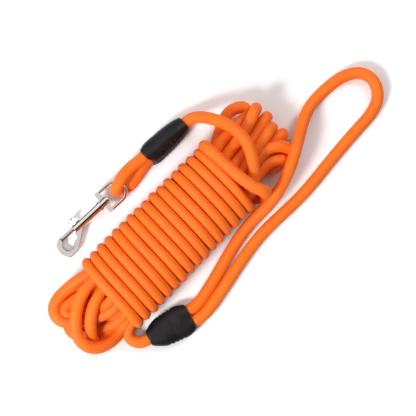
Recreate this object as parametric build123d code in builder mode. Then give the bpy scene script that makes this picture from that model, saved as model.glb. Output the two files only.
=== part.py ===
"""Training leash: a rope wound into a hank, with a hand loop at one end and a swivel bolt snap
at the other. Millimetres, +Z up, the leash lying on the plane Z = 0."""

import os
from math import cos, radians, sin, sqrt, tan

from build123d import *

# ---- rope -------------------------------------------------------------------------------------
ROPE_DIAMETER = 10.0
ROPE_RADIUS = ROPE_DIAMETER / 2
ARC_SHARE = 0.45  # share of the shorter run that a bend may use

# ---- hank -------------------------------------------------------------------------------------
HANK_CENTRE = (-38.0, -20.0)
HANK_ANGLE = 45.0
HANK_WIDTH = 69.0
HANK_THICKNESS = 43.5
WRAPS_START = -70.0
WRAPS_END = 68.0
BIGHT_HEIGHT = 26.0
BIGHT_BEVEL = 5.0

# ---- leather sleeves ----------------------------------------------------------------------------
LEATHER = 1.2
TUBE_DEPTH = 3.0  # how far a rope reaches into a sleeve before the sewn splice begins
WHIPPING = 1.0
THREAD_RADIUS = 0.4
STITCH_SPACING = 3.7
STITCH_HALF = 3.0
STITCH_SAG = 0.2
SLAB_SIDE = 40.0  # wider than any sleeve

# Distance from the narrow end, width and height of the sleeve's outside.
HANDLE_SLEEVE_SECTIONS = [
    (0.0, 12.8, 12.6),
    (5.0, 17.5, 13.0),
    (12.0, 23.0, 13.2),
    (22.0, 26.6, 13.2),
    (31.0, 27.0, 13.2),
    (38.8, 22.7, 12.6),
]
HANDLE_SLEEVE_END = (-55.7, -105.5, 6.6)
HANDLE_SLEEVE_ANGLE = 28.3
HANDLE_WHIPPING = (24.0, 33.0)
HANDLE_STITCHES_FROM = 14.8
HANDLE_STITCH_COUNT = 4

CLIP_SLEEVE_SECTIONS = [
    (0.0, 12.6, 12.8),
    (7.0, 15.5, 17.0),
    (16.0, 17.0, 20.5),
    (27.0, 17.0, 22.0),
    (36.0, 15.0, 22.6),
    (41.8, 12.6, 22.7),
]
CLIP_SLEEVE_END = (-26.2, 72.3, 11.0)
CLIP_SLEEVE_ANGLE = 222.5
CLIP_SLEEVE_ROLL = 25.0  # the two ropes inside lie one above the other, leaning this much
CLIP_WHIPPING = (22.0, 32.0)
CLIP_STITCHES_FROM = 15.0
CLIP_STITCH_COUNT = 4

# ---- bolt snap, in its own frame: +X along the barrel to the hook, +Z out of its flat face ------
SNAP_ORIGIN = (-92.5, 7.5, 10.0)  # middle of the ring's crossbar
SNAP_ANGLE = 222.7
SNAP_TILT = 7.2

RING_WIRE = 1.5
RING_HALF_WIDTH = 8.75
RING_STRAIGHT = 12.3
CROSSBAR = (4.0, 20.4, 3.6)
CROSSBAR_CORNER = 1.2
HUB_RADIUS = 3.7
HUB_HALF_LENGTH = 2.9
SWIVEL_GAP = 0.3
RUNNING_CLEARANCE = 0.08

PIN_RADIUS = 2.0
PIN_HEAD_RADIUS = 3.4
PIN_HEAD_HEIGHT = 2.0
PIN_HEAD_ROUND = 1.2
PIN_SEAT = 9.2

WASHER_RADIUS = 4.5
WASHER_HEIGHT = 1.0
FLANGE_RADIUS = 4.7
FLANGE_HEIGHT = 1.6
BARREL_RADIUS = 3.85
BARREL_END = 33.5
HOOK_THICKNESS = 5.0
HOOK_CHAMFER = 0.45
HOOK_TIP = 47.5

BOLT_OFFSET = -1.0  # the bolt runs a little to the gate side of the barrel's middle
BOLT_RADIUS = 1.9
BOLT_REAR = 26.6
BOLT_TRAVEL = 11.5
BOLT_TIP_GAP = 0.15
BOLT_CHAMFER = 0.4
SPRING_SEAT = 10.6
SPRING_WIRE = 0.25
SPRING_TURNS = 7
SPRING_CLEARANCE = 0.1

KNOB_PLACE = 30.3
KNOB_STEM_RADIUS = 1.3
KNOB_STEM_FOOT = -0.6  # how far past the bolt's middle the stem reaches
KNOB_NECK = 5.6
KNOB_HEAD_RADIUS = 4.4
KNOB_HEAD_HEIGHT = 2.6
KNOB_HEAD_ROUND = 1.1
SLOT_CLEARANCE = 0.25

# ---- routes of the ropes that lie free ----------------------------------------------------------
HANDLE_LOOP_ROUTE = [
    (-26.5, -84.1, 6.6),
    (-16.0, -78.4, 6.4),
    (-2.0, -57.0, 5.0),
    (12.0, -32.0, 5.0),
    (26.5, -10.5, 8.0),
    (44.5, 6.0, 18.0),
    (57.5, 28.0, 24.0),
    (65.0, 50.0, 23.0),
    (70.0, 70.0, 13.0),
    (76.0, 86.0, 6.5),
    (88.0, 99.0, 5.0),
    (102.0, 110.5, 5.0),
    (118.0, 115.5, 5.0),
    (130.5, 109.0, 5.0),
    (134.5, 94.0, 5.0),
    (128.0, 80.0, 5.0),
    (113.0, 64.0, 5.0),
    (94.0, 41.5, 5.0),
    (73.0, 15.0, 5.0),
    (53.5, -3.5, 5.0),
    (36.0, -20.0, 5.0),
    (21.5, -39.5, 5.0),
    (8.5, -59.5, 5.0),
    (-2.5, -76.0, 5.5),
    (-11.2, -87.2, 6.5),
    (-21.8, -92.9, 6.6),
]
HANDLE_LEAD_ROUTE = [
    (-67.5, -88.5, 13.0),
    (-72.5, -96.0, 8.5),
    (-72.5, -105.0, 6.6),
    (-63.5, -109.7, 6.6),
    (-53.1, -104.1, 6.6),
]
CLIP_LEAD_ROUTE = [
    (-28.4, 70.3, 11.0),
    (-18.8, 79.1, 11.4),
    (-3.0, 77.5, 24.0),
    (12.0, 71.0, 35.5),
    (25.0, 58.5, 37.5),
    (30.5, 42.5, 37.5),
    (31.0, 29.0, 36.5),
    (25.0, 14.5, 35.5),
]
CLIP_LOOP_ROUTE = [
    (-56.2, 47.6, 15.5),
    (-62.8, 41.5, 15.8),
    (-70.5, 36.0, 18.0),
    (-77.0, 28.5, 20.5),
    (-81.8, 19.2, 19.4),
    (-83.3, 16.0, 11.6),
    (-78.7, 18.5, 5.0),
    (-70.0, 21.5, 5.0),
    (-65.5, 29.5, 5.0),
    (-60.0, 38.4, 6.3),
    (-53.4, 44.5, 6.5),
]

os.makedirs("parts", exist_ok=True)


def write(name, part):
    """Label one finished piece and write its file."""
    part.label = name
    export_step(part, f"parts/{name}.step")


def bend_radii(route):
    """One radius for each corner: as large as its two runs allow."""
    points = [Vector(*p) for p in route]
    radii = []
    for before, corner, after in zip(points, points[1:], points[2:]):
        turn = (corner - before).get_angle(after - corner)
        shorter = min((corner - before).length, (after - corner).length)
        radii.append(ARC_SHARE * shorter / tan(radians(turn) / 2))
    return radii


def rope_tube(name, route):
    """A round rope along straight runs joined by tangent arcs."""
    with BuildPart() as tube:
        with BuildLine() as path:
            FilletPolyline(*route, radius=bend_radii(route))
        line = path.wires()[0]
        with BuildSketch(Plane(origin=line @ 0, z_dir=line % 0)):
            Circle(ROPE_RADIUS)
        sweep(path=line)
    write(name, tube.part)


def hank_section(distance):
    """The plane across the hank at this distance along its axis, at half its thickness."""
    return Plane(
        origin=HANK.from_local_coords((distance, 0, HANK_THICKNESS / 2)),
        x_dir=HANK.y_dir,
        z_dir=HANK.x_dir,
    )


def bight_solid(outline):
    """The outer shape of the bights at one end of the hank: flat below, with a bevelled top."""
    with BuildPart() as bights:
        with BuildSketch(HANK):
            with BuildLine():
                Polyline(*outline, close=True)
            make_face()
        extrude(amount=BIGHT_HEIGHT)
        chamfer(bights.faces().sort_by(Axis.Z)[-1].edges(), BIGHT_BEVEL)
    return bights.part


def oval(width, height):
    """A slot whose longer side is its width or its height."""
    if width > height:
        SlotOverall(width, height)
    else:
        SlotOverall(height, width, rotation=90)


def sleeve_loft(frame, sections, inset):
    """The sleeve's outside moved inwards by inset, as a solid."""
    with BuildPart() as solid:
        for distance, width, height in sections:
            place = Plane(
                origin=frame.from_local_coords((distance, 0, 0)),
                x_dir=frame.y_dir,
                z_dir=frame.x_dir,
            )
            with BuildSketch(place):
                oval(width - 2 * inset, height - 2 * inset)
        loft()
    return solid.part


def sleeve_slab(frame, start, end):
    """A block across the sleeve between two distances from its narrow end."""
    middle = frame.from_local_coords(((start + end) / 2, 0, 0))
    with BuildPart(Plane(origin=middle, x_dir=frame.x_dir, z_dir=frame.z_dir)) as slab:
        Box(end - start, SLAB_SIDE, SLAB_SIDE)
    return slab.part


def section_at(sections, distance):
    """Width and height of a sleeve's outside, taken straight between its sections."""
    for (d0, w0, h0), (d1, w1, h1) in zip(sections, sections[1:]):
        if d0 <= distance <= d1:
            share = (distance - d0) / (d1 - d0)
            return w0 + share * (w1 - w0), h0 + share * (h1 - h0)
    raise ValueError("outside the sleeve")


def make_sleeve(name, frame, sections, whipping, stitches_from, stitch_count):
    """Leather front and back, sewn splice, its thread whipping, and the seam's stitches."""
    outside = sleeve_loft(frame, sections, 0)
    inside = sleeve_loft(frame, sections, LEATHER)
    bound = sleeve_loft(frame, sections, LEATHER + WHIPPING)
    length = sections[-1][0]

    for half, keep in (("front", Keep.TOP), ("back", Keep.BOTTOM)):
        with BuildPart() as leather:
            add(outside)
            add(inside, mode=Mode.SUBTRACT)
            split(bisect_by=frame, keep=keep)
        write(f"{name}_sleeve_{half}", leather.part)

    with BuildPart() as band:
        add(inside)
        add(bound, mode=Mode.SUBTRACT)
        add(sleeve_slab(frame, *whipping), mode=Mode.INTERSECT)
    write(f"{name}_whipping", band.part)

    with BuildPart() as splice:
        add(inside)
        add(sleeve_slab(frame, TUBE_DEPTH, length - TUBE_DEPTH), mode=Mode.INTERSECT)
        add(band.part, mode=Mode.SUBTRACT)
    write(f"{name}_splice", splice.part)

    with BuildPart() as stitches:
        for index in range(stitch_count):
            distance = stitches_from + index * STITCH_SPACING
            width, height = section_at(sections, distance)
            sag = STITCH_SAG
            if width > height:
                sag = height / 2 - sqrt((height / 2) ** 2 - STITCH_HALF**2)
            across = Plane(
                origin=frame.from_local_coords((distance, 0, 0)),
                x_dir=frame.y_dir,
                z_dir=frame.x_dir,
            )
            for side in (-1, 1):
                with BuildLine(across) as arc:
                    ThreePointArc(
                        (side * (width / 2 - sag), -STITCH_HALF),
                        (side * (width + THREAD_RADIUS) / 2, 0),
                        (side * (width / 2 - sag), STITCH_HALF),
                    )
                thread = arc.wires()[0]
                with BuildSketch(Plane(origin=thread @ 0, z_dir=thread % 0)):
                    Circle(THREAD_RADIUS)
                sweep(path=thread)
    write(f"{name}_stitches", stitches.part)


def placed_plane(origin, heading, pitch=0.0, roll=0.0):
    """A plane whose X points along heading and down by pitch, turned about that X by roll."""
    turn, dip, lean = radians(heading), radians(pitch), radians(roll)
    ahead = Vector(cos(turn) * cos(dip), sin(turn) * cos(dip), -sin(dip))
    left = Vector(-sin(turn), cos(turn), 0)
    up = ahead.cross(left)
    return Plane(origin=origin, x_dir=ahead, z_dir=up * cos(lean) - left * sin(lean))


HANK = placed_plane((*HANK_CENTRE, 0), HANK_ANGLE)
HANDLE_SLEEVE = placed_plane(HANDLE_SLEEVE_END, HANDLE_SLEEVE_ANGLE)
CLIP_SLEEVE = placed_plane(CLIP_SLEEVE_END, CLIP_SLEEVE_ANGLE, roll=CLIP_SLEEVE_ROLL)
SNAP = placed_plane(SNAP_ORIGIN, SNAP_ANGLE, SNAP_TILT)


def snap_section(distance, across=0.0):
    """The plane across the snap's axis at this distance from the crossbar."""
    return Plane(
        origin=SNAP.from_local_coords((distance, across, 0)),
        x_dir=SNAP.y_dir,
        z_dir=SNAP.x_dir,
    )


# ---- hank ---------------------------------------------------------------------------------------
inner_width = HANK_WIDTH - 2 * ROPE_DIAMETER
inner_thickness = HANK_THICKNESS - 2 * ROPE_DIAMETER

with BuildPart() as hank_wraps:
    with BuildSketch(hank_section(WRAPS_START)):
        SlotOverall(HANK_WIDTH, HANK_THICKNESS)
        SlotOverall(inner_width, inner_thickness, mode=Mode.SUBTRACT)
    extrude(amount=WRAPS_END - WRAPS_START)
write("hank_wraps", hank_wraps.part)

with BuildPart() as hank_core:
    with BuildSketch(hank_section(WRAPS_START)):
        SlotOverall(inner_width, inner_thickness)
    extrude(amount=WRAPS_END - WRAPS_START)
write("hank_core", hank_core.part)

upper_outline = [
    (WRAPS_END, -27),
    (100, -24),
    (117, -17),
    (129, -7),
    (131, 12),
    (125, 32),
    (112, 39),
    (92, 37),
    (WRAPS_END, 33),
]
write("upper_bights", bight_solid(upper_outline))

lower_outline = [
    (WRAPS_START, 29),
    (-90, 34),
    (-107, 33),
    (-116, 20),
    (-121, 0),
    (-119, -15),
    (-110, -28),
    (-94, -24),
    (WRAPS_START, -22),
]
write("lower_bights", bight_solid(lower_outline))

# ---- ropes that lie free ------------------------------------------------------------------------
rope_tube("handle_loop", HANDLE_LOOP_ROUTE)
rope_tube("handle_lead", HANDLE_LEAD_ROUTE)
rope_tube("clip_lead", CLIP_LEAD_ROUTE)
rope_tube("clip_loop", CLIP_LOOP_ROUTE)

# ---- sleeves ------------------------------------------------------------------------------------
make_sleeve(
    "handle",
    HANDLE_SLEEVE,
    HANDLE_SLEEVE_SECTIONS,
    HANDLE_WHIPPING,
    HANDLE_STITCHES_FROM,
    HANDLE_STITCH_COUNT,
)
make_sleeve(
    "clip",
    CLIP_SLEEVE,
    CLIP_SLEEVE_SECTIONS,
    CLIP_WHIPPING,
    CLIP_STITCHES_FROM,
    CLIP_STITCH_COUNT,
)

# ---- bolt snap: swivel ring ---------------------------------------------------------------------
with BuildPart() as swivel_ring:
    with BuildLine(SNAP) as ring_path:
        Line((0, -RING_HALF_WIDTH), (-RING_STRAIGHT, -RING_HALF_WIDTH))
        ThreePointArc(
            (-RING_STRAIGHT, -RING_HALF_WIDTH),
            (-RING_STRAIGHT - RING_HALF_WIDTH, 0),
            (-RING_STRAIGHT, RING_HALF_WIDTH),
        )
        Line((-RING_STRAIGHT, RING_HALF_WIDTH), (0, RING_HALF_WIDTH))
    ring_line = ring_path.wires()[0]
    with BuildSketch(Plane(origin=ring_line @ 0, z_dir=ring_line % 0)):
        Circle(RING_WIRE)
    sweep(path=ring_line)
    with BuildSketch(SNAP.offset(-CROSSBAR[2] / 2)):
        RectangleRounded(CROSSBAR[0], CROSSBAR[1], CROSSBAR_CORNER)
    extrude(amount=CROSSBAR[2])
    with BuildSketch(snap_section(-HUB_HALF_LENGTH)):
        Circle(HUB_RADIUS)
    extrude(amount=2 * HUB_HALF_LENGTH)
    with BuildSketch(snap_section(-HUB_HALF_LENGTH)):
        Circle(PIN_RADIUS + RUNNING_CLEARANCE)
    extrude(amount=2 * HUB_HALF_LENGTH, mode=Mode.SUBTRACT)
write("swivel_ring", swivel_ring.part)

# ---- bolt snap: pin and washer ------------------------------------------------------------------
head_face = -HUB_HALF_LENGTH - SWIVEL_GAP
with BuildPart() as swivel_pin:
    with BuildSketch(snap_section(head_face)):
        Circle(PIN_RADIUS)
    extrude(amount=PIN_SEAT - head_face)
    with BuildSketch(snap_section(head_face - PIN_HEAD_HEIGHT)):
        Circle(PIN_HEAD_RADIUS)
    extrude(amount=PIN_HEAD_HEIGHT)
    rim = edges().filter_by(GeomType.CIRCLE).sort_by(Axis(SNAP.origin, SNAP.x_dir))[0]
    fillet(rim, PIN_HEAD_ROUND)
write("swivel_pin", swivel_pin.part)

washer_face = HUB_HALF_LENGTH + SWIVEL_GAP
with BuildPart() as swivel_washer:
    with BuildSketch(snap_section(washer_face)):
        Circle(WASHER_RADIUS)
        Circle(PIN_RADIUS, mode=Mode.SUBTRACT)
    extrude(amount=WASHER_HEIGHT)
write("swivel_washer", swivel_washer.part)

# ---- bolt snap: barrel and hook -----------------------------------------------------------------
body_face = washer_face + WASHER_HEIGHT
bore_radius = BOLT_RADIUS + RUNNING_CLEARANCE
hook_corners = [
    ((22.0, 3.0), 0.8),
    ((27.0, 4.0), 6.0),
    ((42.5, 14.6), 5.0),
    ((52.0, 15.4), 5.5),
    ((56.3, 8.0), 5.5),
    ((55.0, 0.0), 4.5),
    ((50.5, -3.2), 1.5),
    ((HOOK_TIP, -3.2), 0.8),
    ((HOOK_TIP, 1.1), 0.8),
    ((50.8, 4.0), 2.4),
    ((50.0, 9.8), 3.0),
    ((45.0, 10.6), 3.0),
    ((36.0, 4.6), 3.0),
    ((BARREL_END, 1.1), 0.8),
    ((22.0, 1.1), 0.8),
]

with BuildPart() as snap_body:
    with BuildSketch(SNAP.offset(-HOOK_THICKNESS / 2)):
        with BuildLine():
            FilletPolyline(
                *[corner for corner, _ in hook_corners],
                radius=[radius for _, radius in hook_corners],
                close=True,
            )
        make_face()
    extrude(amount=HOOK_THICKNESS)
    flat_faces = faces().filter_by(Axis(SNAP.origin, SNAP.z_dir))
    chamfer(flat_faces.edges(), HOOK_CHAMFER)
    with BuildSketch(snap_section(body_face)):
        Circle(FLANGE_RADIUS)
    extrude(amount=FLANGE_HEIGHT)
    with BuildSketch(snap_section(body_face)):
        Circle(BARREL_RADIUS)
    extrude(amount=BARREL_END - body_face)
    with BuildSketch(snap_section(body_face)):
        Circle(PIN_RADIUS)
    extrude(amount=PIN_SEAT - body_face, mode=Mode.SUBTRACT)
    with BuildSketch(snap_section(SPRING_SEAT, BOLT_OFFSET)):
        Circle(bore_radius)
    extrude(amount=HOOK_TIP - SPRING_SEAT, mode=Mode.SUBTRACT)
    slot_start = KNOB_PLACE - BOLT_TRAVEL - KNOB_STEM_RADIUS - SLOT_CLEARANCE
    slot_half = KNOB_STEM_RADIUS + SLOT_CLEARANCE
    with BuildSketch(SNAP.offset(-slot_half)):
        with Locations(((slot_start + BARREL_END) / 2, BOLT_OFFSET - BARREL_RADIUS / 2)):
            Rectangle(BARREL_END - slot_start, BARREL_RADIUS)
    extrude(amount=2 * slot_half, mode=Mode.SUBTRACT)
write("snap_body", snap_body.part)

# ---- bolt snap: bolt, knob and spring -----------------------------------------------------------
knob_plane = Plane(
    origin=SNAP.from_local_coords((KNOB_PLACE, BOLT_OFFSET, 0)),
    x_dir=SNAP.x_dir,
    z_dir=-SNAP.y_dir,
)

with BuildPart() as snap_bolt:
    with BuildSketch(snap_section(BOLT_REAR, BOLT_OFFSET)):
        Circle(BOLT_RADIUS)
    extrude(amount=HOOK_TIP - BOLT_TIP_GAP - BOLT_REAR)
    chamfer(edges().filter_by(GeomType.CIRCLE), BOLT_CHAMFER)
    with BuildSketch(knob_plane.offset(KNOB_STEM_FOOT)):
        Circle(KNOB_STEM_RADIUS)
    extrude(amount=KNOB_NECK - KNOB_STEM_FOOT, mode=Mode.SUBTRACT)
write("snap_bolt", snap_bolt.part)

with BuildPart() as thumb_knob:
    with BuildSketch(knob_plane.offset(KNOB_STEM_FOOT)):
        Circle(KNOB_STEM_RADIUS)
    extrude(amount=KNOB_NECK - KNOB_STEM_FOOT)
    with BuildSketch(knob_plane.offset(KNOB_NECK)):
        Circle(KNOB_HEAD_RADIUS)
    extrude(amount=KNOB_HEAD_HEIGHT)
    fillet(faces().sort_by(Axis(knob_plane.origin, knob_plane.z_dir))[-1].edges(), KNOB_HEAD_ROUND)
write("thumb_knob", thumb_knob.part)

spring_radius = BOLT_RADIUS - SPRING_CLEARANCE - SPRING_WIRE
spring_height = BOLT_REAR - SPRING_SEAT - 2 * SPRING_WIRE
spring_foot = snap_section(SPRING_SEAT + SPRING_WIRE, BOLT_OFFSET)
with BuildPart() as bolt_spring:
    with BuildLine() as coil:
        Helix(
            spring_height / SPRING_TURNS,
            spring_height,
            spring_radius,
            center=spring_foot.origin,
            direction=spring_foot.z_dir,
        )
    coil_line = coil.wires()[0]
    with BuildSketch(Plane(origin=coil_line @ 0, z_dir=coil_line % 0)):
        Circle(SPRING_WIRE)
    sweep(path=coil_line, is_frenet=True)
write("bolt_spring", bolt_spring.part)
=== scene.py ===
from math import copysign, cos, exp, pi, radians, sin

import bmesh
import bpy
import numpy as np
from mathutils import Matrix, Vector
from mathutils.noise import turbulence


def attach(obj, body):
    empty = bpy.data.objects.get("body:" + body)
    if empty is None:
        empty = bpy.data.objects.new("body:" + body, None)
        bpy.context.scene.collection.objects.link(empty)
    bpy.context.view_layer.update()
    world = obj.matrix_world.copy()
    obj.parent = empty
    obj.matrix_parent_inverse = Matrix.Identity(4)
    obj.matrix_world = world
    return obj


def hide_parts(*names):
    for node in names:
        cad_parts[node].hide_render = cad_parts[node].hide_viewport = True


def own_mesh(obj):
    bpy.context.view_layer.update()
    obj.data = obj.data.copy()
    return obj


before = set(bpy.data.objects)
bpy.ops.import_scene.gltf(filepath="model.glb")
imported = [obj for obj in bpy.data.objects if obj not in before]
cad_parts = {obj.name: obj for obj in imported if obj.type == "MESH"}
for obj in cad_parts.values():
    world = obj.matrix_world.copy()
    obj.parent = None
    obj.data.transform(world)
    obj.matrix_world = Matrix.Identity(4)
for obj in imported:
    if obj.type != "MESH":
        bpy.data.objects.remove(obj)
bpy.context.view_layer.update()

# Lengths are in metres, except in the tables whose comment says millimetres.

# ---- camera and studio ----------------------------------------------------------------------------
VIEW_TRANSFORM = "Standard"
CAMERA_POINT = (-0.0070, 0.0025)
CAMERA_HEIGHT = 1.60
OBJECT_HEIGHT = 0.018  # the height at which the framed width is measured
FRAMED_WIDTH = 0.3411
SENSOR = 0.036
MILLIMETRES = 1000  # in a metre
FLOOR_HALF = 6.0
FLOOR_COLOUR = (0.86, 0.86, 0.86, 1)
FLOOR_ROUGHNESS = 0.8
WORLD_STRENGTH = 1.25
DARK_WALL = (0.707, -0.707, 0.0)  # the way to the dark wall
BOXES_ALONG = (0.707, 0.707, 0.0)  # the softboxes stand at either end of the hank
# Greys as stops of (position, grey), the two ends first: from the white wall to the dark one, from
# beside the softboxes to their middle, and from the floor up past the horizon.
WALLS = ((0.0, 0.7), (1.0, 0.02), (0.25, 0.85), (0.44, 0.64), (0.52, 0.56), (0.55, 0.02))
BOXES = ((0.0, 0.0), (1.0, 0.35), (0.5, 0.0), (0.72, 0.35))
HORIZON = ((0.0, 0.03), (1.0, 1.0), (0.38, 0.04), (0.5, 1.0))

# ---- rope and hank --------------------------------------------------------------------------------
ROPE_DIAMETER = 0.010
ROPE_RADIUS = ROPE_DIAMETER / 2
ROPE_SIDES = 20
ROPE_RESOLUTION = 14  # points of the smooth line for each point of the route
RING_STEP = 0.0021

HANK_CENTRE = (-0.038, -0.020)
HANK_ANGLE = radians(45.0)
HANK_MIDDLE = 0.02175  # half the hank's thickness

WRAP_COUNT = 16  # the even turns; the 17th, on the right, is listed point by point
WRAP_RIGHT = (0.0616, -0.0690)  # along the hank, where the 16th turn and the 1st start
WRAP_LEFT = (0.0632, -0.0635)  # and where they go round the other edge
WRAP_HALF_WIDTHS = (0.0300, 0.0319)  # of the 16th turn and of the 1st
WRAP_HALF_HEIGHT = 0.0171
WRAP_SQUARENESS = 0.78  # under 1 makes a turn squarer than an ellipse
WRAP_BOW = 0.0019  # how far the 16th turn's middle bows along the hank
WRAP_SHIFT = 0.0010  # how far the 16th turn's middle lies to one side of the hank's axis
WRAP_SQUEEZE = 0.86  # how thick the rope is along the hank, where the turns press on each other
TURN_POINTS = 16
TURN_UNEVEN = 0.0004
TURN_SEED = 7
LAST_TURN_EXTRA = 3  # points of the 1st turn from its second edge on
LAST_TURN_LEAN = 0.0001

CORE_ROWS = {"top": (5, 0.0292), "middle": (6, 0.02175), "bottom": (5, 0.0143)}  # strands and height
CORE_SPACING = 0.0083
CORE_ENDS = (0.058, -0.060)
CORE_SQUEEZE = 0.85  # how thick the core's strands are inside the turns
CORE_TIGHT_TO = 0.085  # from the hank's centre, where the strands are their full thickness again
CORE_LOOSENS_OVER = 0.02

BRAID_COLUMNS = 16.0
BRAID_PITCH = 0.0022
BRAID_SLANT = 0.6
BRAID_STAGGER = 0.25
# The grooves' darker, redder colour is painted shade; the crests' colour is the rope's own orange.
ROPE_GROOVE_SHADE = (0.70, 0.070, 0.003)
ROPE_CREST = (0.95, 0.180, 0.010)

# ---- leather sleeves ------------------------------------------------------------------------------
LEATHER = 0.0012
SEAM_GAP = 0.00008
SLEEVE_COLUMNS = 56
SLEEVE_STEP = 0.0004
SLEEVE_RESOLUTION = 24
SLEEVE_SIDE_POWER = 0.85  # under 1 makes the section squarer than an ellipse
SLEEVE_RISE_POWER = 0.8
SLEEVE_UNEVEN = 0.0002
UNEVEN_SCALE = 90
UNEVEN_OCTAVES = 3
EDGE_ROUND = 0.0008
EDGE_POWER = 6  # how near to a seam its puckers stay
PULL_LENGTH = 0.0008  # how far along the seam each stitch draws it in
PULL_DEPTH = 0.07
CREASE_DEPTH = 0.035
MOUTH_ROUND = 0.0016  # how much farther the mouth's middle reaches than its sides
STITCH_SPACING = 0.0037
STITCH_COUNT = 4
STITCH_REACH = 0.75
STITCH_LEAN = 0.0006
STITCH_STEPS = 6  # from a stitch's middle to its end
STITCH_SINK = 2.5  # how deep its ends go into the leather, in thread radii
STITCH_PROUD = 0.4  # how far its middle stands out, in thread radii
THREAD_RADIUS = 0.0004
WIRE_SIDES = 8

# Each sleeve's narrow end, its heading and roll, where its stitches start, its dip at the mouth
# (where that starts, its share of the height, and its width), and its sections (the distance from
# the narrow end, the width and the height).
HANDLE_SLEEVE = {
    "end": (-0.0557, -0.1055, 0.0066),
    "heading": radians(28.3),
    "roll": 0.0,
    "stitches_from": 0.0148,
    "dip": (0.026, 0.16, 0.0045),
    "sections": [
        (0.0, 0.0128, 0.0126),
        (0.004, 0.0190, 0.0130),
        (0.012, 0.0258, 0.0132),
        (0.022, 0.0276, 0.0132),
        (0.033, 0.0286, 0.0132),
        (0.0388, 0.0236, 0.0126),
    ],
}
CLIP_SLEEVE = {
    "end": (-0.0262, 0.0723, 0.0110),
    "heading": radians(222.5),
    "roll": radians(25.0),
    "stitches_from": 0.0150,
    "dip": (0.030, 0.0, 0.0045),
    "sections": [
        (0.0, 0.0124, 0.0128),
        (0.006, 0.0160, 0.0170),
        (0.016, 0.0180, 0.0205),
        (0.027, 0.0186, 0.0220),
        (0.038, 0.0190, 0.0226),
        (0.0418, 0.0134, 0.0227),
    ],
}

# ---- the snap's frame (its axes run along it, across it and up) and the spring in it --------------
SNAP_ORIGIN = (-0.0925, 0.0075, 0.010)
SNAP_AXES = (
    (-0.72912, -0.672812, -0.125333),
    (0.67816, -0.734915, 0.0),
    (-0.092109, -0.084996, 0.992115),
)
BOLT_OFFSET = -0.0010
SPRING_FOOT = 0.0106
SPRING_HEIGHT = 0.0160
SPRING_RADIUS = 0.00155
SPRING_WIRE = 0.00025
SPRING_TURNS = 7
SPRING_STEPS = 24  # in each turn

# ---- the rope's route -----------------------------------------------------------------------------
HANDLE_LOOP_ROUTE = [
    (-0.0265, -0.0841, 0.0066),
    (-0.0160, -0.0784, 0.0064),
    (-0.0020, -0.0570, 0.0050),
    (0.0120, -0.0320, 0.0050),
    (0.0265, -0.0105, 0.0080),
    (0.0445, 0.0060, 0.0180),
    (0.0575, 0.0280, 0.0240),
    (0.0650, 0.0500, 0.0230),
    (0.0700, 0.0700, 0.0130),
    (0.0760, 0.0860, 0.0065),
    (0.0880, 0.0990, 0.0050),
    (0.1020, 0.1105, 0.0050),
    (0.1180, 0.1155, 0.0050),
    (0.1305, 0.1090, 0.0050),
    (0.1345, 0.0940, 0.0050),
    (0.1280, 0.0800, 0.0050),
    (0.1130, 0.0640, 0.0050),
    (0.0940, 0.0415, 0.0050),
    (0.0730, 0.0150, 0.0050),
    (0.0535, -0.0035, 0.0050),
    (0.0360, -0.0200, 0.0050),
    (0.0215, -0.0395, 0.0050),
    (0.0085, -0.0595, 0.0050),
    (-0.0025, -0.0760, 0.0055),
    (-0.0112, -0.0872, 0.0065),
    (-0.0218, -0.0929, 0.0066),
]
HANDLE_LEAD_ROUTE = [
    (-0.0675, -0.0885, 0.0130),
    (-0.0725, -0.0960, 0.0085),
    (-0.0725, -0.1050, 0.0066),
    (-0.0635, -0.1097, 0.0066),
    (-0.0531, -0.1041, 0.0066),
]
CLIP_LEAD_ROUTE = [
    (-0.0284, 0.0703, 0.0110),
    (-0.0188, 0.0780, 0.0120),
    (-0.0030, 0.0757, 0.0240),
    (0.0120, 0.0690, 0.0350),
    (0.0240, 0.0575, 0.0375),
    (0.0297, 0.0420, 0.0375),
    (0.0306, 0.0280, 0.0345),
    (0.0270, 0.0155, 0.0290),
]
CLIP_LOOP_ROUTE = [
    (-0.0562, 0.0476, 0.0155),
    (-0.0628, 0.0415, 0.0158),
    (-0.0705, 0.0360, 0.0180),
    (-0.0770, 0.0285, 0.0205),
    (-0.0818, 0.0192, 0.0194),
    (-0.0833, 0.0160, 0.0116),
    (-0.0787, 0.0185, 0.0050),
    (-0.0700, 0.0215, 0.0050),
    (-0.0655, 0.0295, 0.0050),
    (-0.0600, 0.0384, 0.0063),
    (-0.0534, 0.0445, 0.0065),
]
# The rope's ends and its stretches inside the two leather sleeves.
CLIP_TAIL = [(-0.042, 0.060, 0.0130), (-0.050, 0.053, 0.0150)]
CLIP_SPLICE = [(-0.044, 0.054, 0.0085), (-0.036, 0.062, 0.0105)]
HANDLE_SPLICE = [(-0.044, -0.0985, 0.0066), (-0.035, -0.0915, 0.0066)]
HANDLE_TAIL = [(-0.032, -0.0965, 0.0066), (-0.039, -0.0975, 0.0066)]

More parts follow.
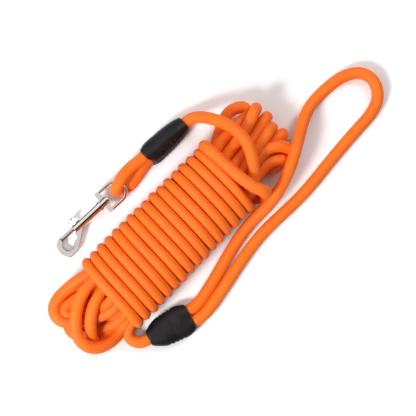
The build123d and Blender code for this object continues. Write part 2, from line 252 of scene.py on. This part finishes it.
# The folds of the core, in the order in which the rope runs through them: the strand that it
# leaves, its points in millimetres, and the strand that it goes back into. The points are given
# along, across and up in the hank's own frame.
CORE_FOLDS = [
    (("top", 4), [(-70, -18.5, 21), (-77, -20.5, 13.5), (-88, -18, 7.5), (-97, -14.5, 5), (-106, -10.5, 5),
     (-112.8, -5, 5), (-114.6, 2.5, 5), (-111.5, 8, 5), (-103, 8, 5), (-89, 5.5, 7), (-76, 5, 15)],
     ("middle", 2)),
    (("middle", 2), [(80, 5.5, 17.5), (93, 7.5, 14.5), (109, 10, 7.5), (118, 12, 6), (124.3, 12.8, 8.5),
     (125.3, 12.8, 14), (121.5, 12.2, 19), (110, 9.5, 21), (95, 5.5, 24), (79, 4, 28)], ("top", 2)),
    (("top", 2), [(-72.3, -4, 28), (-79.6, -2.1, 22), (-92, 3.5, 14), (-102, 10, 13), (-106.5, 14.5, 13),
     (-104.5, 18.8, 13), (-98, 18.8, 13), (-88, 17, 14), (-76, 14.5, 18)], ("middle", 1)),
    (("middle", 1), [(80, 15.5, 15), (95, 17, 13), (110, 19.5, 13.5), (120.5, 23, 14.5), (124.2, 24.2, 20.5),
     (120.5, 22.8, 26.5), (108, 18.2, 28), (93, 15.2, 28), (79, 14, 28)], ("top", 1)),
    (("top", 1), [(-72.3, 7.2, 28.5), (-83.8, 4.2, 27.5), (-94.4, -2.2, 24.5), (-102.5, -10.5, 19),
     (-107.5, -17.5, 12), (-106, -24.5, 6), (-97, -22, 5), (-85, -16, 6)], ("bottom", 3)),
    (("bottom", 3), [(84, -13, 8), (98, -18.5, 6.5), (108.5, -24, 7), (111.5, -23.5, 13), (107, -18.7, 18),
     (100, -15, 19.5), (89, -14.5, 20), (78, -17.5, 21)], ("middle", 5)),
    (("middle", 5), [(-77.9, -24.7, 11), (-82.9, -26.4, 7.5), (-91.5, -28.1, 8.5), (-101.2, -26.8, 13.5),
     (-108.9, -22.5, 19), (-113.1, -14.9, 22.5), (-112.3, -5.5, 24), (-107.2, 2.1, 25), (-98.2, 10.1, 27),
     (-87.3, 16.1, 28), (-72.8, 18.7, 28)], ("top", 0)),
    (("top", 0), [(78, 24, 27), (92, 24.5, 25), (103, 25, 20), (112, 24.5, 15), (117.5, 27, 14),
     (117.3, 32.5, 15), (111, 36.3, 15.5), (104, 38, 15), (94, 34, 14), (85, 29.3, 15), (76, 25, 18)],
     ("middle", 0)),
    (("middle", 0), [(-72, 26.3, 21), (-88.5, 28.5, 16), (-101.2, 29.3, 13.5), (-109.5, 26.5, 13),
     (-114, 20.4, 13), (-113.3, 12.5, 14), (-107, 5, 15), (-97, -1, 15), (-87.5, -6, 18), (-78, -10.5, 23)],
     ("top", 3)),
    (("top", 3), [(79, -5, 28), (92, -2, 27.5), (108, 1.8, 27), (118.5, 3.2, 24), (122.5, 3.5, 16.5),
     (118, 3, 9), (105, 2.5, 5.5), (94, 5, 5), (82, 12, 6)], ("bottom", 0)),
    (("bottom", 0), [(-76, 20, 9), (-88, 24.5, 5.5), (-98, 24.8, 5), (-104.5, 22.5, 5), (-105.5, 17.5, 5),
     (-100, 14.3, 5), (-88, 12.5, 5.5)], ("bottom", 1)),
    (("bottom", 1), [(78, 4, 7), (92, -2, 5), (106, -5.5, 5), (117, -6.2, 5), (123, -6.3, 6),
     (125.2, -6.3, 10.5), (122, -6.2, 15.3), (111, -5.2, 16.3), (94, -4.5, 17), (79, -4.3, 19)],
     ("middle", 3)),
    (("middle", 3), [(-74, -5, 17), (-81, -6, 12), (-79, -4.5, 5.5), (-72, -2, 9)], ("bottom", 2)),
    (("bottom", 2), [(82, -5, 7), (96, -12, 5), (108, -18, 5), (116.5, -23, 5.5), (121, -23.5, 10.5),
     (120, -19.5, 17), (116.5, -12.5, 22), (109, -7, 25), (99.5, -5.8, 25), (89, -8.5, 24),
     (78, -11.5, 23)], ("middle", 4)),
    (("middle", 4), [(-74, -14, 16), (-81, -15.5, 10), (-78, -18, 5.5), (-71, -18, 9)], ("bottom", 4)),
]
# Out of the core, over the top as the last wrap, and under to where the even wraps begin, in
# millimetres in the hank's own frame.
LAST_WRAP = [
    (63, -19, 14.5), (67.5, -23, 13), (71, -27.8, 8), (75, -30.6, 9), (78.5, -30.6, 17), (80.2, -29.8, 28),
    (80.4, -29.5, 38), (78.6, -26.5, 41.5), (75.6, -18.5, 42), (73.9, -8, 41.5), (73, 2, 40),
    (72.5, 14, 39.2), (72, 24, 38.5), (71.6, 31, 32.5), (71.5, 32, 21), (71.2, 31, 10), (70.5, 22, 5),
    (68, 8, 5), (65.5, -8, 5), (63.4, -22, 5), (62, -30, 9),
]
# From under the first wrap towards the handle's lead, in the same way.
FIRST_WRAP_END = [(-65.5, -8, 5), (-68, -20, 7)]


# ---- the rope's line ------------------------------------------------------------------------------
def hank_point(along, across, up):
    """A point given in the hank's own frame, as (x, y, z) in the part's frame."""
    turn_x, turn_y = cos(HANK_ANGLE), sin(HANK_ANGLE)
    x = HANK_CENTRE[0] + along * turn_x - across * turn_y
    y = HANK_CENTRE[1] + along * turn_y + across * turn_x
    return (x, y, up)


def from_millimetres(points):
    """Points given in the hank's own frame in millimetres, as points in the part's frame."""
    return [hank_point(*(value / MILLIMETRES for value in point)) for point in points]


def rounded(wave, power):
    """A sine or a cosine raised to a power, with its sign kept."""
    return copysign(abs(wave) ** power, wave)


def core_strand(name, at_far_end):
    """Where one strand of the core comes out of the wraps, at either end of the hank."""
    row, number = name
    count, height = CORE_ROWS[row]
    across = CORE_SPACING * ((count - 1) / 2 - number)
    return hank_point(CORE_ENDS[0] if at_far_end else CORE_ENDS[1], across, height)


def wrap_turns():
    """The even turns, from the 16th at the upper right to the 1st at the lower left."""
    chance = np.random.default_rng(TURN_SEED)
    right = np.linspace(*WRAP_RIGHT, WRAP_COUNT)
    left = np.linspace(*WRAP_LEFT, WRAP_COUNT)
    wide = np.linspace(*WRAP_HALF_WIDTHS, WRAP_COUNT)
    for values in (right, left, wide):
        values += chance.uniform(-TURN_UNEVEN, TURN_UNEVEN, WRAP_COUNT)
    half = TURN_POINTS // 2
    points = []
    for turn in range(WRAP_COUNT):
        last = turn == WRAP_COUNT - 1
        following = left[turn] - LAST_TURN_LEAN if last else right[turn + 1]
        share = 1 - turn / WRAP_COUNT
        for step in range(half + LAST_TURN_EXTRA if last else TURN_POINTS):
            angle = pi - 2 * pi * step / TURN_POINTS
            across = WRAP_SHIFT * share + wide[turn] * rounded(cos(angle), WRAP_SQUARENESS)
            up = HANK_MIDDLE + WRAP_HALF_HEIGHT * rounded(sin(angle), WRAP_SQUARENESS)
            if step <= half:
                along = right[turn] + (left[turn] - right[turn]) * step / half
                along += WRAP_BOW * share * sin(pi * step / half)
            else:
                along = left[turn] + (following - left[turn]) * (step - half) / half
            points.append(hank_point(along, across, max(up, ROPE_RADIUS)))
    return points


def rope_route():
    """The whole rope's control points, from its end in the clip's sleeve to its end in the handle's,
    and the first and last of them in the core and in the wraps."""
    route = CLIP_TAIL + CLIP_LOOP_ROUTE + CLIP_SPLICE + CLIP_LEAD_ROUTE
    core_start = len(route)
    route.append(core_strand(("top", 4), True))
    for strand, fold, following in CORE_FOLDS:
        far_end = fold[0][0] > 0
        route += [core_strand(strand, far_end), *from_millimetres(fold), core_strand(following, far_end)]
    route.append(core_strand(("bottom", 4), True))
    core_end = len(route)
    route += from_millimetres(LAST_WRAP)
    wraps_start = len(route)
    route += wrap_turns()
    wraps_end = len(route)
    route += from_millimetres(FIRST_WRAP_END)
    route += HANDLE_LEAD_ROUTE + HANDLE_SPLICE + HANDLE_LOOP_ROUTE + HANDLE_TAIL
    return route, (core_start, core_end), (wraps_start, wraps_end)


def nurbs_points(name, route, resolution):
    """Points read from the smooth spline that has this route as its control points."""
    curve = bpy.data.curves.new(name, "CURVE")
    curve.dimensions = "3D"
    spline = curve.splines.new("NURBS")
    spline.points.add(len(route) - 1)
    for point, place in zip(spline.points, route):
        point.co = (*place, 1.0)
    spline.order_u = 3
    spline.use_endpoint_u = True
    spline.resolution_u = resolution
    holder = bpy.data.objects.new(name, curve)
    mesh = bpy.data.meshes.new_from_object(holder)
    points = np.array([vertex.co[:] for vertex in mesh.vertices])
    bpy.data.objects.remove(holder)
    bpy.data.curves.remove(curve)
    bpy.data.meshes.remove(mesh)
    return points


def evenly(points, step):
    """The same line with its points about step apart, the share of the spline's own points that
    comes before each of them, and the length of line before it."""
    gaps = np.linalg.norm(np.diff(points, axis=0), axis=1)
    keep = np.concatenate([[True], gaps > 1e-9])
    points = points[keep]
    place = np.arange(len(keep))[keep] / (len(keep) - 1)
    run = np.concatenate([[0], np.cumsum(np.linalg.norm(np.diff(points, axis=0), axis=1))])
    wanted = np.linspace(0, run[-1], int(round(run[-1] / step)) + 1)
    line = np.stack([np.interp(wanted, run, points[:, axis]) for axis in range(3)], axis=1)
    return line, np.interp(wanted, run, place), wanted


def evenly_by_first(points, step):
    """Rows whose first value goes up in even steps, and the others read between the points."""
    first = points[:, 0]
    wanted = np.linspace(first[0], first[-1], int(round((first[-1] - first[0]) / step)) + 1)
    return np.stack([wanted, *(np.interp(wanted, first, points[:, k]) for k in (1, 2))], axis=1)


def carried_frames(line):
    """Two directions across the line at each point, carried along it without twisting."""
    tangent = np.gradient(line, axis=0)
    tangent /= np.linalg.norm(tangent, axis=1)[:, None]
    side = np.cross(tangent[0], (0, 0, 1))
    sides = []
    for direction in tangent:
        side = side - direction * side.dot(direction)
        side = side / np.linalg.norm(side)
        sides.append(side)
    sides = np.array(sides)
    return sides, np.cross(tangent, sides)


# ---- meshes and objects ---------------------------------------------------------------------------
def finished_mesh(name, bm):
    """The mesh that this bmesh holds, with its faces turned outwards."""
    bmesh.ops.recalc_face_normals(bm, faces=bm.faces[:])
    mesh = bpy.data.meshes.new(name)
    bm.to_mesh(mesh)
    bm.free()
    return mesh


def add(name, mesh, material):
    """A new object with this mesh and this material."""
    obj = bpy.data.objects.new(name, mesh)
    bpy.context.scene.collection.objects.link(obj)
    obj.data.materials.append(material)
    return obj


def tube_mesh(name, line, offsets, run):
    """A closed tube through rings of offsets around the line, with UVs around it and along it."""
    rings, sides = offsets.shape[:2]
    bm = bmesh.new()
    vertices = [bm.verts.new(point) for point in (line[:, None, :] + offsets).reshape(-1, 3)]
    uv_layer = bm.loops.layers.uv.new("UVMap")
    for ring in range(rings - 1):
        for side in range(sides):
            following = (side + 1) % sides
            corners = (
                (ring, side, side),
                (ring, following, side + 1),
                (ring + 1, following, side + 1),
                (ring + 1, side, side),
            )
            face = bm.faces.new([vertices[r * sides + s] for r, s, _ in corners])
            face.smooth = True
            for loop, (r, _, around) in zip(face.loops, corners):
                loop[uv_layer].uv = (around / sides, run[r])
    bm.faces.new(vertices[:sides][::-1])
    bm.faces.new(vertices[-sides:])
    return finished_mesh(name, bm)


def small_tube(bm, points, radius):
    """Adds a closed tube along a short line of points."""
    line = np.array([tuple(point) for point in points])
    rings = []
    for centre, first, second in zip(line, *carried_frames(line)):
        ring = []
        for step in range(WIRE_SIDES):
            angle = 2 * pi * step / WIRE_SIDES
            ring.append(bm.verts.new(centre + radius * (cos(angle) * first + sin(angle) * second)))
        rings.append(ring)
    for before, after in zip(rings, rings[1:]):
        for step in range(WIRE_SIDES):
            following = (step + 1) % WIRE_SIDES
            face = bm.faces.new((before[step], before[following], after[following], after[step]))
            face.smooth = True
    bm.faces.new(rings[0])
    bm.faces.new(rings[-1])


# ---- rope -----------------------------------------------------------------------------------------
def rope_rings(line, knot, core, wraps):
    """The rope's section at each point of its line, squeezed in the core and between the wraps."""
    side, up = carried_frames(line)
    angles = np.linspace(0, 2 * pi, ROPE_SIDES, endpoint=False)[None, :, None]
    rings = ROPE_RADIUS * (np.cos(angles) * side[:, None, :] + np.sin(angles) * up[:, None, :])
    along = np.array([cos(HANK_ANGLE), sin(HANK_ANGLE), 0])
    from_middle = np.abs((line - (*HANK_CENTRE, 0)) @ along)
    in_core = (knot > core[0]) & (knot < core[1])
    tight = in_core * np.clip((CORE_TIGHT_TO - from_middle) / CORE_LOOSENS_OVER, 0, 1)
    rings *= (1 - (1 - CORE_SQUEEZE) * tight)[:, None, None]
    in_wraps = (knot > wraps[0]) & (knot < wraps[1])
    pressed = (rings @ along)[:, :, None] * along
    return rings - (1 - WRAP_SQUEEZE) * in_wraps[:, None, None] * pressed


def make_rope(material):
    """The leash's one rope, from sleeve to sleeve through the hank."""
    route, core, wraps = rope_route()
    line, place, run = evenly(nurbs_points("rope_route", route, ROPE_RESOLUTION), RING_STEP)
    rings = rope_rings(line, place * len(route), core, wraps)
    rope = add("leash_rope", tube_mesh("leash_rope", line, rings, run), material)
    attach(rope, "root")
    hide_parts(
        "hank_wraps",
        "hank_core",
        "upper_bights",
        "lower_bights",
        "handle_loop",
        "handle_lead",
        "clip_lead",
        "clip_loop",
        "handle_splice",
        "clip_splice",
    )


# ---- materials ------------------------------------------------------------------------------------
def new_material(name):
    """A node material, its nodes, its links and its shader."""
    material = bpy.data.materials.new(name)
    material.use_nodes = True
    nodes = material.node_tree.nodes
    return material, nodes, material.node_tree.links, nodes["Principled BSDF"]


def calculate(nodes, links, operation, *inputs):
    """The output of one math node whose inputs are numbers or other nodes' outputs."""
    node = nodes.new("ShaderNodeMath")
    node.operation = operation
    for socket, value in zip(node.inputs, inputs):
        if isinstance(value, (int, float)):
            socket.default_value = value
        else:
            links.new(value, socket)
    return node.outputs[0]


def noise(nodes, links, coordinate, scale, detail):
    """A noise texture's factor."""
    node = nodes.new("ShaderNodeTexNoise")
    node.inputs["Scale"].default_value = scale
    node.inputs["Detail"].default_value = detail
    links.new(coordinate, node.inputs["Vector"])
    return node.outputs["Fac"]


def ramp(nodes, links, factor, low, high, start=0.0, end=1.0):
    """A colour between low and high, as the factor goes from start to end."""
    node = nodes.new("ShaderNodeValToRGB")
    node.color_ramp.elements[0].position = start
    node.color_ramp.elements[0].color = (*low, 1)
    node.color_ramp.elements[1].position = end
    node.color_ramp.elements[1].color = (*high, 1)
    links.new(factor, node.inputs["Fac"])
    return node.outputs["Color"]


def between(nodes, links, factor, low, high):
    """A number from low to high, as the factor goes from 0 to 1."""
    node = nodes.new("ShaderNodeMapRange")
    node.inputs["To Min"].default_value = low
    node.inputs["To Max"].default_value = high
    links.new(factor, node.inputs["Value"])
    return node.outputs["Result"]


def bump(nodes, links, height, strength, distance, under=None):
    """A bumped normal, over another one where under is given."""
    node = nodes.new("ShaderNodeBump")
    node.inputs["Strength"].default_value = strength
    node.inputs["Distance"].default_value = distance
    links.new(height, node.inputs["Height"])
    if under is not None:
        links.new(under, node.inputs["Normal"])
    return node.outputs["Normal"]


def rope_material():
    """Orange multifilament braid: columns of slanting plaits that run along the rope, with painted shade in
    the grooves between them.
    """
    material, nodes, links, shader = new_material("braided_rope")
    shader.inputs["Specular IOR Level"].default_value = 0.3
    place = nodes.new("ShaderNodeTexCoord")
    split = nodes.new("ShaderNodeSeparateXYZ")
    links.new(place.outputs["UV"], split.inputs["Vector"])

    def math(*args):
        return calculate(nodes, links, *args)

    column = math("MULTIPLY", split.outputs["X"], BRAID_COLUMNS)
    across = math("FRACT", column)
    # 1 in every second column and -1 in the others, which lean the other way.
    lean = math("MULTIPLY_ADD", math("MODULO", math("FLOOR", column), 2.0), 2.0, -1.0)
    slant = math("MULTIPLY", math("SUBTRACT", across, 0.5), lean)
    pitch = math("DIVIDE", split.outputs["Y"], BRAID_PITCH)
    stagger = math("MULTIPLY_ADD", lean, BRAID_STAGGER, pitch)
    along = math("MULTIPLY_ADD", slant, BRAID_SLANT, stagger)
    plait = math("MULTIPLY_ADD", math("SINE", math("MULTIPLY", along, 2 * pi)), 0.5, 0.5)
    rib = math("POWER", math("SINE", math("MULTIPLY", across, pi)), 0.5)
    height = math("MULTIPLY", rib, math("MULTIPLY_ADD", plait, 0.2, 0.8))
    fibre = noise(nodes, links, place.outputs["Object"], scale=2600.0, detail=3.0)
    patch = noise(nodes, links, place.outputs["Object"], scale=45.0, detail=2.0)
    shade = math("MULTIPLY_ADD", math("SUBTRACT", patch, 0.5), 0.5, height)
    # Painted shade: the colour darkens from the crests down into the grooves, with random patches of tone
    # over it.
    colour = ramp(nodes, links, shade, ROPE_GROOVE_SHADE, ROPE_CREST, start=0.05, end=0.85)
    links.new(colour, shader.inputs["Base Color"])
    links.new(between(nodes, links, fibre, low=0.5, high=0.7), shader.inputs["Roughness"])
    fine = bump(nodes, links, fibre, strength=0.2, distance=0.0002)
    plaited = bump(nodes, links, height, strength=0.28, distance=0.0003, under=fine)
    links.new(plaited, shader.inputs["Normal"])
    return material


def leather_material():
    """Black, lightly polished leather with a fine pebbled grain."""
    material, nodes, links, shader = new_material("black_leather")
    shader.inputs["Specular IOR Level"].default_value = 0.28
    place = nodes.new("ShaderNodeTexCoord").outputs["Object"]
    grain = nodes.new("ShaderNodeTexVoronoi")
    grain.feature = "DISTANCE_TO_EDGE"
    grain.inputs["Scale"].default_value = 1300.0
    links.new(place, grain.inputs["Vector"])
    from_edge = calculate(nodes, links, "MULTIPLY", grain.outputs["Distance"], 4.0)
    pebble = between(nodes, links, from_edge, low=0.0, high=1.0)
    crease = noise(nodes, links, place, scale=220.0, detail=4.0)
    worn = noise(nodes, links, place, scale=70.0, detail=3.0)
    colour = ramp(nodes, links, worn, (0.006, 0.005, 0.005), (0.014, 0.012, 0.012), start=0.35, end=0.75)
    links.new(colour, shader.inputs["Base Color"])
    links.new(between(nodes, links, crease, low=0.32, high=0.5), shader.inputs["Roughness"])
    creased = bump(nodes, links, crease, strength=0.25, distance=0.0006)
    pebbled = bump(nodes, links, pebble, strength=0.2, distance=0.00012, under=creased)
    links.new(pebbled, shader.inputs["Normal"])
    return material


def thread_material():
    """Waxed black thread, twisted."""
    material, nodes, links, shader = new_material("waxed_thread")
    place = nodes.new("ShaderNodeTexCoord").outputs["Object"]
    wave = nodes.new("ShaderNodeTexWave")
    wave.bands_direction = "DIAGONAL"
    wave.inputs["Scale"].default_value = 700.0
    wave.inputs["Distortion"].default_value = 1.0
    links.new(place, wave.inputs["Vector"])
    colour = ramp(nodes, links, wave.outputs["Fac"], (0.006, 0.006, 0.006), (0.022, 0.021, 0.021))
    links.new(colour, shader.inputs["Base Color"])
    shader.inputs["Roughness"].default_value = 0.5
    twisted = bump(nodes, links, wave.outputs["Fac"], strength=0.5, distance=0.0001)
    links.new(twisted, shader.inputs["Normal"])
    return material


def metal_material(name, colour, smooth, rough):
    """Plated metal: the casting's slight waves, and fine rubbed scratches in its shine."""
    material, nodes, links, shader = new_material(name)
    shader.inputs["Metallic"].default_value = 1.0
    place = nodes.new("ShaderNodeTexCoord").outputs["Object"]
    cast = noise(nodes, links, place, scale=160.0, detail=2.0)
    rubbed = noise(nodes, links, place, scale=900.0, detail=4.0)
    dark = tuple(channel * 0.95 for channel in colour)
    links.new(ramp(nodes, links, rubbed, dark, colour, start=0.3, end=0.6), shader.inputs["Base Color"])
    links.new(between(nodes, links, rubbed, smooth, rough), shader.inputs["Roughness"])
    scratched = bump(nodes, links, rubbed, strength=0.015, distance=0.0001)
    waved = bump(nodes, links, cast, strength=0.06, distance=0.0003, under=scratched)
    links.new(waved, shader.inputs["Normal"])
    return material


# ---- snap and whippings ---------------------------------------------------------------------------
def dress_frame_parts(metal, darkened_bolt_metal, thread):
    """The CAD nodes that stay, each with its own finish."""
    finishes = {
        "swivel_ring": metal,
        "swivel_pin": metal,
        "swivel_washer": metal,
        "snap_body": metal,
        "snap_bolt": darkened_bolt_metal,
        "thumb_knob": darkened_bolt_metal,
        "handle_whipping": thread,
        "clip_whipping": thread,
    }
    for name, material in finishes.items():
        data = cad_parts[name].data
        data.materials.clear()
        data.materials.append(material)


def make_spring(material):
    """The spring behind the bolt, a fixed coil of wire that runs from its foot along the snap."""
    ahead, across, up = (Vector(axis) for axis in SNAP_AXES)
    foot = Vector(SNAP_ORIGIN) + ahead * SPRING_FOOT + across * BOLT_OFFSET
    steps = SPRING_TURNS * SPRING_STEPS
    points = []
    for step in range(steps + 1):
        angle = 2 * pi * step / SPRING_STEPS
        run = SPRING_WIRE + (SPRING_HEIGHT - 2 * SPRING_WIRE) * step / steps
        points.append(foot + ahead * run + (across * cos(angle) + up * sin(angle)) * SPRING_RADIUS)
    bm = bmesh.new()
    small_tube(bm, points, SPRING_WIRE)
    piece = add("spring_coil", finished_mesh("spring_coil", bm), material)
    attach(piece, "snap")
    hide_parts("bolt_spring")
    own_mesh(piece)


# ---- leather sleeves ------------------------------------------------------------------------------
def sleeve_axes(end, heading, roll):
    """The sleeve's narrow end and its directions along, across and up."""
    ahead = Vector((cos(heading), sin(heading), 0))
    left = Vector((-sin(heading), cos(heading), 0))
    up = Vector((0, 0, 1))
    return Vector(end), ahead, left * cos(roll) + up * sin(roll), up * cos(roll) - left * sin(roll)


def sleeve_surface(shape, distance, width, height, angle, inset):
    """A point of one sleeve's outside, or of its inside where inset is the leather's thickness."""
    side = rounded(cos(angle), SLEEVE_SIDE_POWER)
    rise = rounded(sin(angle), SLEEVE_RISE_POWER)
    by_seam = abs(cos(angle)) ** EDGE_POWER
    pull = sum(exp(-(((distance - stitch) / PULL_LENGTH) ** 2)) for stitch in shape["stitches"])
    across = side * (width / 2 - inset) * (1 - PULL_DEPTH * pull * by_seam)
    up = rise * (height / 2 - inset)
    up *= 1 - CREASE_DEPTH * pull * cos(angle) ** 2
    dip_start, dip_depth, dip_width = shape["dip"]
    near_mouth = min(max((distance - dip_start) / (shape["length"] - dip_start), 0), 1) ** 2
    up *= 1 - dip_depth * near_mouth * exp(-((across / dip_width) ** 2))
    cut_back = MOUTH_ROUND * near_mouth * (by_seam - 0.5)
    end, ahead, sideways, upwards = shape["axes"]
    point = end + ahead * (distance - cut_back) + sideways * across + upwards * up
    if inset == 0:
        uneven = turbulence(point * UNEVEN_SCALE, UNEVEN_OCTAVES, False) * SLEEVE_UNEVEN
        point += (sideways * side + upwards * rise) * uneven
    return point


def make_sleeve_half(name, shape, top, material, node):
    """One half of a leather sleeve, a closed shell between its two seams."""
    gap = SEAM_GAP if top else -SEAM_GAP
    turn = pi if top else -pi
    bm = bmesh.new()
    layers = []
    for inset, wear in ((0.0, 0.5), (LEATHER, -0.5)):
        rows = []
        for distance, width, height in shape["profile"]:
            # The leather's cut ends are rounded a little.
            from_end = min(distance, shape["length"] - distance)
            worn = wear * EDGE_ROUND * max(0.0, 1 - from_end / EDGE_ROUND) ** 2
            row = []
            for step in range(SLEEVE_COLUMNS + 1):
                angle = turn * step / SLEEVE_COLUMNS
                point = sleeve_surface(shape, distance, width, height, angle, inset + worn)
                row.append(bm.verts.new(point + shape["axes"][3] * gap))
            rows.append(row)
        layers.append(rows)
    outer, inner = layers
    last_row = len(outer) - 1
    for r in range(last_row):
        for c in range(SLEEVE_COLUMNS):
            bm.faces.new((outer[r][c], outer[r + 1][c], outer[r + 1][c + 1], outer[r][c + 1]))
            bm.faces.new((inner[r][c], inner[r][c + 1], inner[r + 1][c + 1], inner[r + 1][c]))
        for c in (0, SLEEVE_COLUMNS):
            bm.faces.new((outer[r][c], inner[r][c], inner[r + 1][c], outer[r + 1][c]))
    for r in (0, last_row):
        for c in range(SLEEVE_COLUMNS):
            bm.faces.new((outer[r][c], outer[r][c + 1], inner[r][c + 1], inner[r][c]))
    for face in bm.faces:
        face.smooth = True
    piece = add(name, finished_mesh(name, bm), material)
    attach(piece, "root")
    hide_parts(node)


def make_stitches(name, shape, material, node):
    """The thread that goes over both seams at each stitch."""
    distances, widths, heights = shape["profile"].T
    bm = bmesh.new()
    for stitch in shape["stitches"]:
        width = float(np.interp(stitch, distances, widths))
        height = float(np.interp(stitch, distances, heights))
        for seam in (0.0, pi):
            points = []
            for step in range(-STITCH_STEPS, STITCH_STEPS + 1):
                out = step / STITCH_STEPS  # 0 on the seam, and 1 or -1 at the stitch's ends
                angle = seam + STITCH_REACH * out
                inset = THREAD_RADIUS * (STITCH_SINK * out**4 - STITCH_PROUD)
                distance = stitch + STITCH_LEAN * out
                points.append(sleeve_surface(shape, distance, width, height, angle, inset))
            small_tube(bm, points, THREAD_RADIUS)
    piece = add(name, finished_mesh(name, bm), material)
    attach(piece, "root")
    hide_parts(node)


def make_sleeve(label, sleeve, leather, thread):
    """Both halves of one sleeve and its stitches."""
    sections = nurbs_points(label, sleeve["sections"], SLEEVE_RESOLUTION)
    shape = {
        "axes": sleeve_axes(sleeve["end"], sleeve["heading"], sleeve["roll"]),
        "profile": evenly_by_first(sections, SLEEVE_STEP),
        "length": sleeve["sections"][-1][0],
        "stitches": [sleeve["stitches_from"] + STITCH_SPACING * index for index in range(STITCH_COUNT)],
        "dip": sleeve["dip"],
    }
    for half, top in (("front", True), ("back", False)):
        make_sleeve_half(f"{label}_leather_{half}", shape, top, leather, f"{label}_sleeve_{half}")
    make_stitches(f"{label}_seam_thread", shape, thread, f"{label}_stitches")


# ---- camera, floor and light ----------------------------------------------------------------------
def make_camera():
    """A camera straight above the leash."""
    data = bpy.data.cameras.new("camera")
    data.sensor_width = SENSOR * MILLIMETRES
    data.lens = SENSOR * MILLIMETRES * (CAMERA_HEIGHT - OBJECT_HEIGHT) / FRAMED_WIDTH
    camera = bpy.data.objects.new("camera", data)
    camera.location = (*CAMERA_POINT, CAMERA_HEIGHT)
    bpy.context.scene.collection.objects.link(camera)
    bpy.context.scene.camera = camera


def make_light(name, place, size, power):
    """A round softbox that faces the origin."""
    data = bpy.data.lights.new(name, "AREA")
    data.shape = "DISK"
    data.size = size
    data.energy = power
    light = bpy.data.objects.new(name, data)
    light.location = place
    light.rotation_euler = (-Vector(place)).to_track_quat("-Z", "Y").to_euler()
    bpy.context.scene.collection.objects.link(light)


def make_floor():
    """The plain pale floor."""
    low, high = -FLOOR_HALF, FLOOR_HALF
    mesh = bpy.data.meshes.new("floor")
    mesh.from_pydata([(low, low, 0), (high, low, 0), (high, high, 0), (low, high, 0)], [], [(0, 1, 2, 3)])
    material, _, _, shader = new_material("floor")
    shader.inputs["Base Color"].default_value = FLOOR_COLOUR
    shader.inputs["Roughness"].default_value = FLOOR_ROUGHNESS
    floor = add("floor", mesh, material)


def greys(nodes, links, factor, stops):
    """A grey that follows stops of (position, grey); the first two are the ends."""
    node = nodes.new("ShaderNodeValToRGB")
    for index, (position, grey) in enumerate(stops):
        stop = node.color_ramp.elements[index] if index < 2 else node.color_ramp.elements.new(position)
        stop.position = position
        stop.color = (grey, grey, grey, 1)
    links.new(factor, node.inputs["Fac"])
    return node.outputs["Color"]


def facing(nodes, links, direction, way):
    """How much a direction faces this way, from -1 to 1."""
    node = nodes.new("ShaderNodeVectorMath")
    node.operation = "DOT_PRODUCT"
    node.inputs[1].default_value = way
    links.new(direction, node.inputs[0])
    return node.outputs["Value"]


def make_world():
    """A soft studio: a white wall on one side, a dark one on the other, and softboxes between them."""
    world = bpy.data.worlds.new("world")
    world.use_nodes = True
    nodes, links = world.node_tree.nodes, world.node_tree.links
    direction = nodes.new("ShaderNodeTexCoord").outputs["Generated"]
    to_dark_wall = nodes.new("ShaderNodeMapRange")
    to_dark_wall.inputs["From Min"].default_value = -1.0
    links.new(facing(nodes, links, direction, DARK_WALL), to_dark_wall.inputs["Value"])
    rise = nodes.new("ShaderNodeSeparateXYZ")
    links.new(direction, rise.inputs["Vector"])
    to_either_box = calculate(nodes, links, "ABSOLUTE", facing(nodes, links, direction, BOXES_ALONG))
    walls = greys(nodes, links, to_dark_wall.outputs["Result"], WALLS)
    boxes = greys(nodes, links, to_either_box, BOXES)
    horizon = greys(nodes, links, rise.outputs["Z"], HORIZON)
    light = calculate(nodes, links, "MULTIPLY", calculate(nodes, links, "ADD", walls, boxes), horizon)
    links.new(light, nodes["Background"].inputs["Color"])
    nodes["Background"].inputs["Strength"].default_value = WORLD_STRENGTH
    bpy.context.scene.world = world


bpy.context.scene.view_settings.view_transform = VIEW_TRANSFORM
make_camera()
make_rope(rope_material())
leather = leather_material()
thread = thread_material()
make_sleeve("handle", HANDLE_SLEEVE, leather, thread)
make_sleeve("clip", CLIP_SLEEVE, leather, thread)
dress_frame_parts(
    metal_material("bright_nickel", (0.82, 0.81, 0.79), smooth=0.04, rough=0.09),
    # The bolt and the knob take the body's nickel painted a little darker: painted shade that tones down
    # their bright reflections.
    metal_material("darkened_nickel_bolt", (0.76, 0.75, 0.73), smooth=0.05, rough=0.1),
    thread,
)
make_spring(metal_material("spring_wire", (0.55, 0.55, 0.54), smooth=0.25, rough=0.4))
make_floor()
make_world()
make_light("key", place=(-0.75, -0.7, 0.95), size=0.4, power=18)
make_light("fill", place=(0.75, 0.8, 1.0), size=0.6, power=8)
